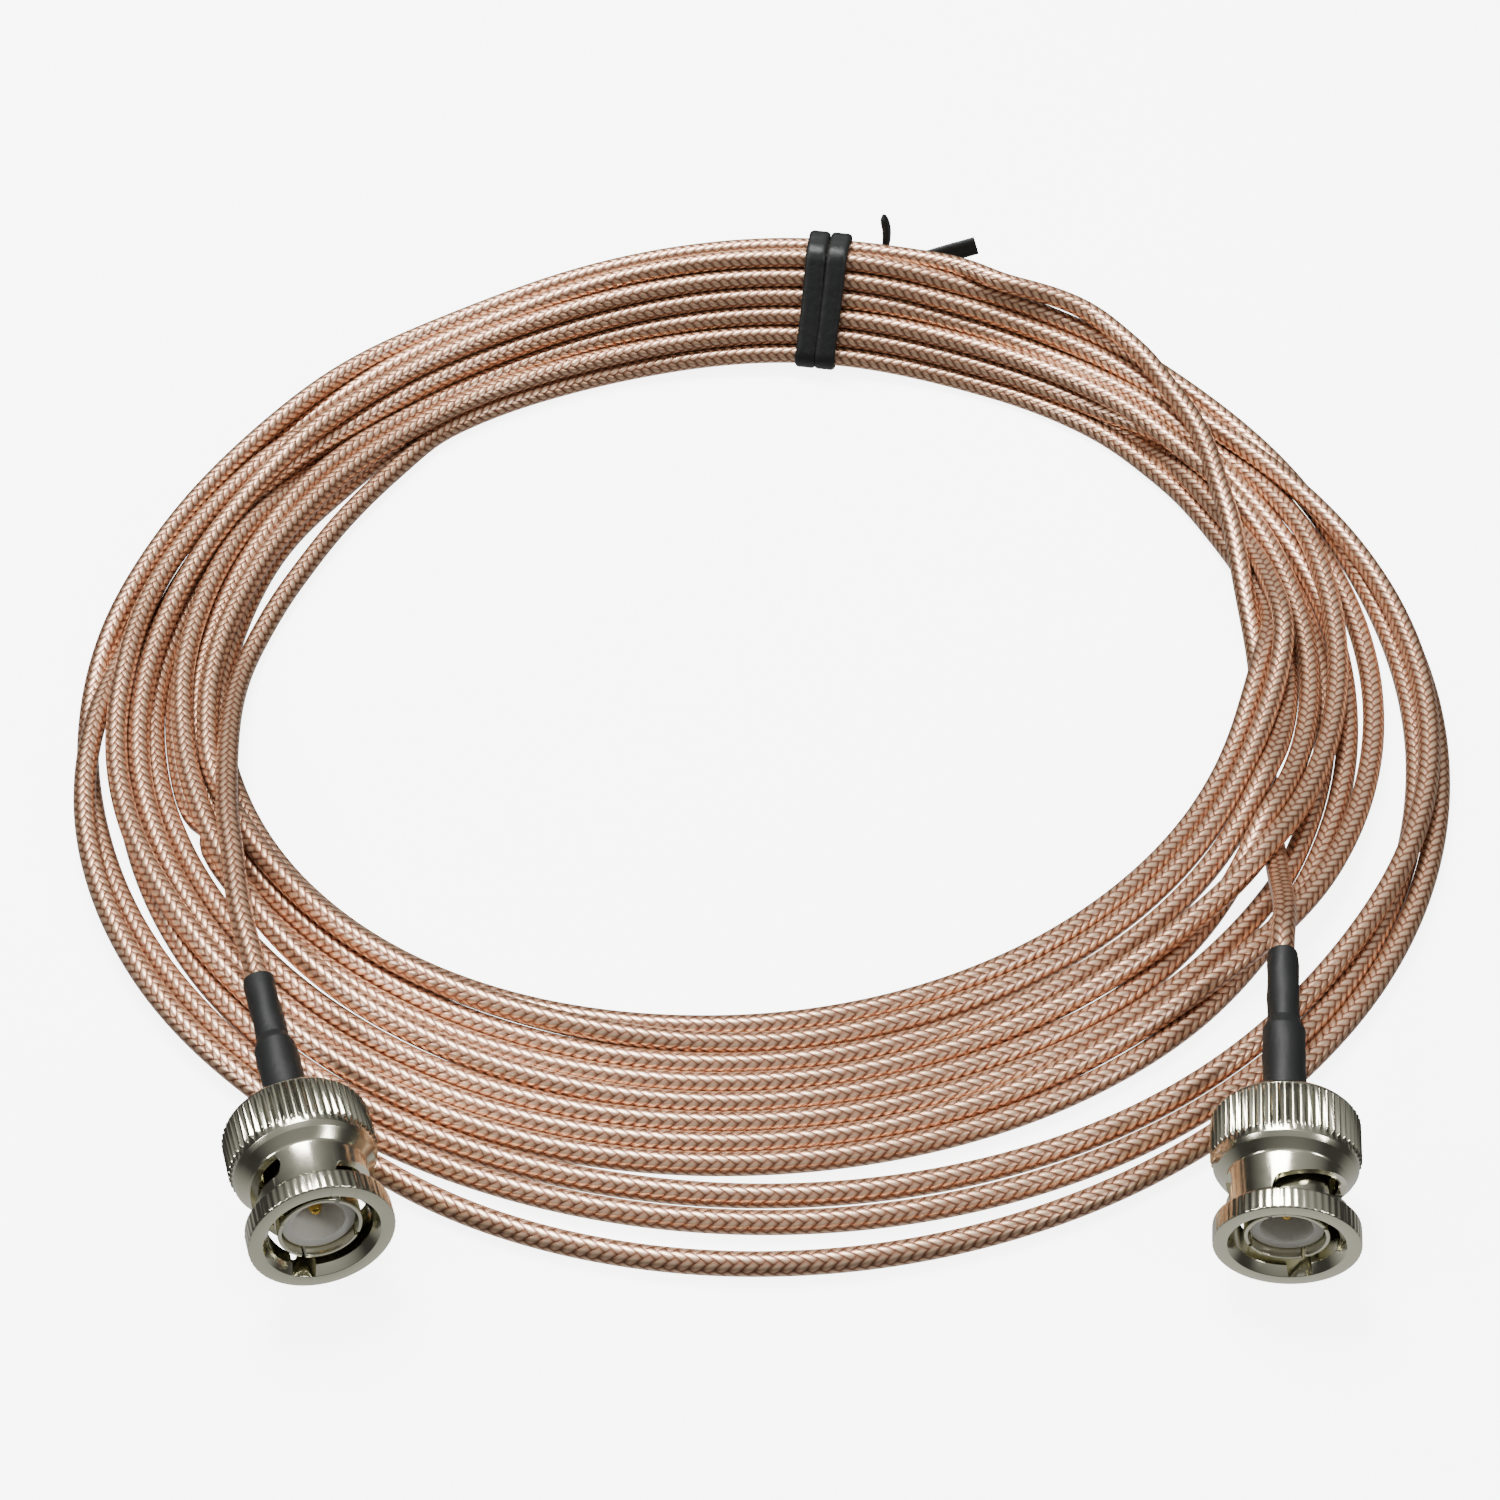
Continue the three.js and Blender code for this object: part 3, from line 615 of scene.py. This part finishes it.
def buildPin(name, plug):
    return turnedPiece(name, plug, pin["profile"], gold, sides=32, closedLoop=False)


def buildWasher(name, plug):
    return turnedPiece(name, plug, washer["profile"], springSteel)


def buildFerrule(name, plug):
    return turnedPiece(name, plug, ferrule["profile"], nickel, sides=48)


def buildSleeve(name, plug):
    return turnedPiece(name, plug, sleeve["profile"], shrinkTube, 48, wobble=sleeve["wobble"])


# Each row: the CAD node that the piece replaces, the piece, its body and its slot
for side, plug in plugs.items():
    rows = [
        ("coupling_nut", buildNut(f"knurled_nut_{side}", plug), f"nut_{side}", "nickel"),
        ("plug_body", buildContact(f"slit_contact_{side}", plug), "cable", "nickel"),
        ("insulator", buildInsulator(f"dielectric_{side}", plug), "cable", "insulator"),
        ("centre_pin", buildPin(f"gold_pin_{side}", plug), "cable", "pin"),
        ("spring_washer", buildWasher(f"wave_washer_{side}", plug), f"washer_{side}", "spring"),
        ("crimp_ferrule", buildFerrule(f"hidden_ferrule_{side}", plug), "cable", "ferrule"),
        ("shrink_sleeve", buildSleeve(f"shrunk_sleeve_{side}", plug), "cable", "sleeve"),
    ]
    for node, piece, bodyName, slotName in rows:
        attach(piece, bodyName)
        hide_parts(f"{node}_{side}")
print("plugs made")

# The tie: a flat ribbon over a wire, two wraps round the bundle and two ends behind it.
# Routes are in millimetres in the model's frame
tie = {
    "width": 2.75, "thickness": 0.95, "clearance": 0.14, "wraps": (-1.36, 1.4),
    "standingEnd": [
        [9.5, 79, 8.6], [12, 80.6, 8.4], [14.6, 80.9, 9.2], [15.7, 80.8, 12], [15.8, 80.6, 14.8],
        [15.2, 80.4, 17.4],
    ],
    "standingWidth": 2.2, "standingThickness": 1.1, "standingFaces": [0.3, 1.0, 0.2],
    "standingTaper": (1.1, 0.75), "tipRoundness": 24, "tipLeast": 0.03, "fullness": 0.75, "flatness": 0.25,
    "lyingWidth": 2.5, "lyingThickness": 0.9, "lyingFaces": [0, 0.25, 1.0], "sway": 0.25,
    "lyingEnd": [
        [9.5, 79, 7.4], [12.5, 80.3, 6.7], [17.5, 80.4, 8.8], [22.5, 80.5, 10.7], [27.9, 80.4, 12.6],
    ],
}


# A flat ribbon with round edges along a path: each ring is a flattened oval, wide along one
# given direction and thin square to it
def ribbonPiece(name, path, wideAlong, width, thickness, closedLoop=False, sides=16):
    step = np.roll(path, -1, 0) - np.roll(path, 1, 0) if closedLoop else np.gradient(path, axis=0)
    forward = step / np.linalg.norm(step, axis=1, keepdims=True)
    wideAlong = np.broadcast_to(wideAlong, path.shape)
    wide = wideAlong - (wideAlong * forward).sum(1, keepdims=True) * forward
    wide /= np.linalg.norm(wide, axis=1, keepdims=True)
    thin = np.cross(forward, wide)
    turn = (np.arange(sides) + 0.5) / sides * 2 * np.pi
    across = np.sign(np.cos(turn)) * np.abs(np.cos(turn)) ** tie["fullness"] * 0.5
    through = np.sin(turn) * 0.5 * (1 - tie["flatness"] * np.cos(2 * turn) ** 2)
    span = np.asarray(width, float).reshape(-1, 1, 1) * across[None, :, None]
    depth = np.asarray(thickness, float).reshape(-1, 1, 1) * through[None, :, None]
    points = path[:, None] + span * wide[:, None] + depth * thin[:, None]
    return newPiece(name, points.reshape(-1, 3), ringFaces(len(path), sides, closedLoop), tieVinyl)


# The line that a wrap follows: the four outer strands' centres, a slanted oblong, let out by a
# strand's radius, a clearance and half the ribbon, with round corners
def wrapLine(steps=120):
    bore = float(coilSection(np.array([float(coil["tieAngle"])]))[0][0])
    low = coil["thickness"] / 2 + coil["tieLift"]
    high = low + coil["lastRow"] * coil["rowRise"]
    inner = bore + coil["thickness"] / 2
    lean = coil["lastRow"] * coil["rowLean"]
    gap = coil["columnGap"]
    corners = np.array([[inner, low], [inner + gap, low], [inner + lean + gap, high], [inner + lean, high]])
    let = coil["thickness"] / 2 + tie["clearance"] + tie["thickness"] / 2
    angle = np.arange(720) / 720 * 2 * np.pi
    normal = np.stack([np.cos(angle), np.sin(angle)], -1)
    line = corners[np.argmax(normal @ corners.T, axis=1)] + let * normal
    line = np.vstack([line, line[:1]])
    along = np.concatenate([[0], np.cumsum(np.linalg.norm(np.diff(line, axis=0), axis=1))])
    even = np.linspace(0, along[-1], steps, endpoint=False)
    return np.stack([np.interp(even, along, line[:, axis]) for axis in range(2)], -1)


def buildTie():
    angle = math.radians(coil["tieAngle"])
    outward = np.array([math.cos(angle), math.sin(angle), 0])
    along = np.array([math.sin(angle), -math.cos(angle), 0])
    line = wrapLine()
    lap = np.arange(len(line)) / len(line) * 2 * np.pi
    made = []
    for index, offset in enumerate(tie["wraps"]):
        sway = offset + tie["sway"] * np.sin(lap + 0.7 * index)
        path = line[:, :1] * outward + sway[:, None] * along
        path[:, :2] += coil["boreCentre"]
        path[:, 2] += line[:, 1]
        made.append(ribbonPiece(f"tie_wrap_{index + 1}", path, along, tie["width"], tie["thickness"], True))
    standing = smoothLine(tie["standingEnd"], 8)
    taper = tie["standingWidth"] * np.linspace(*tie["standingTaper"], len(standing))
    upward = np.arange(len(standing)) / (len(standing) - 1)
    tip = np.sqrt(np.clip(1 - upward ** tie["tipRoundness"], tie["tipLeast"], 1))
    thickness = tie["standingThickness"] * tip
    made.append(ribbonPiece("tie_standing_end", standing, tie["standingFaces"], taper * tip, thickness))
    lying = smoothLine(tie["lyingEnd"], 8)
    thickness = tie["lyingThickness"]
    made.append(ribbonPiece("tie_lying_end", lying, tie["lyingFaces"], tie["lyingWidth"], thickness))
    return made


tiePieces = buildTie()
for piece in tiePieces:
    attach(piece, "cable")
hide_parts("cable_tie")
print("tie made")

# Plain soft studio: a pale self-lit floor, a wide soft box above, a narrow one on each side and
# a sky that darkens towards the horizon, which gives the metal its dark bands. The floor is
# for the eye only: metal and cable are lit from below by the lower half of the sky
studio = {
    "floor": "#fbfbfa", "floorGlow": 6.0, "floorReach": 3000, "floorLevel": -0.02,
    "sky": [(0, 0.75), (0.25, 0.65), (0.42, 0.06), (0.6, 0.05), (0.95, 0.45)],
    "lights": [
        ((-0.12, 0.2, 0.6), 0.3, 7.5), ((-0.55, -0.2, 0.4), 0.16, 1.6), ((0.5, -0.3, 0.4), 0.16, 1.4),
    ],
}


def buildStudio():
    material, tree, shader = newMaterial("white acrylic board lit from below")
    shader.inputs["Base Color"].default_value = colour(studio["floor"])
    shader.inputs["Roughness"].default_value = 0.9
    shader.inputs["Emission Color"].default_value = colour(studio["floor"])
    shader.inputs["Emission Strength"].default_value = studio["floorGlow"]
    far, level = studio["floorReach"], studio["floorLevel"]
    corners = [[-far, -far, level], [far, -far, level], [far, far, level], [-far, far, level]]
    floor = newPiece("floor", corners, [[0, 1, 2, 3]], material)
    floor.visible_glossy = floor.visible_diffuse = False
    world = bpy.data.worlds.new("studio")
    world.use_nodes = True
    sky = world.node_tree
    direction = addNode(sky, "ShaderNodeTexCoord").outputs["Generated"]
    upward = addNode(sky, "ShaderNodeSeparateXYZ", {0: direction}).outputs[2]
    ramp = addNode(sky, "ShaderNodeValToRGB", {0: mathNode(sky, "MULTIPLY_ADD", upward, 0.5, 0.5)})
    stops = ramp.color_ramp.elements
    stops = [*stops, *(stops.new(0.5) for more in studio["sky"][2:])]
    for stop, (position, brightness) in zip(stops, studio["sky"]):
        stop.position, stop.color = position, (brightness, brightness, brightness, 1)
    sky.nodes["Background"].inputs[0].default_value = (1, 1, 1, 1)
    sky.links.new(ramp.outputs[0], sky.nodes["Background"].inputs[1])
    bpy.context.scene.world = world
    for place, size, power in studio["lights"]:
        data = bpy.data.lights.new("soft box", "AREA")
        data.shape, data.size, data.energy = "SQUARE", size, power
        lamp = bpy.data.objects.new("soft box", data)
        lamp.location = place
        lamp.rotation_euler = Vector(place).to_track_quat("Z", "Y").to_euler()
        bpy.context.scene.collection.objects.link(lamp)


buildStudio()

# The photograph's camera: above the front, looking down at 44 degrees
view = {"place": (-0.0025, -0.2344, 0.2223), "down": 44, "lens": 66.43, "sensor": 36}
camera = bpy.data.objects.new("camera", bpy.data.cameras.new("camera"))
camera.data.lens = view["lens"]
camera.data.sensor_width = view["sensor"]
camera.data.dof.use_dof = False
camera.location = view["place"]
camera.rotation_euler = (math.radians(90 - view["down"]), 0, 0)
bpy.context.scene.collection.objects.link(camera)
bpy.context.scene.camera = camera
print("studio ready")
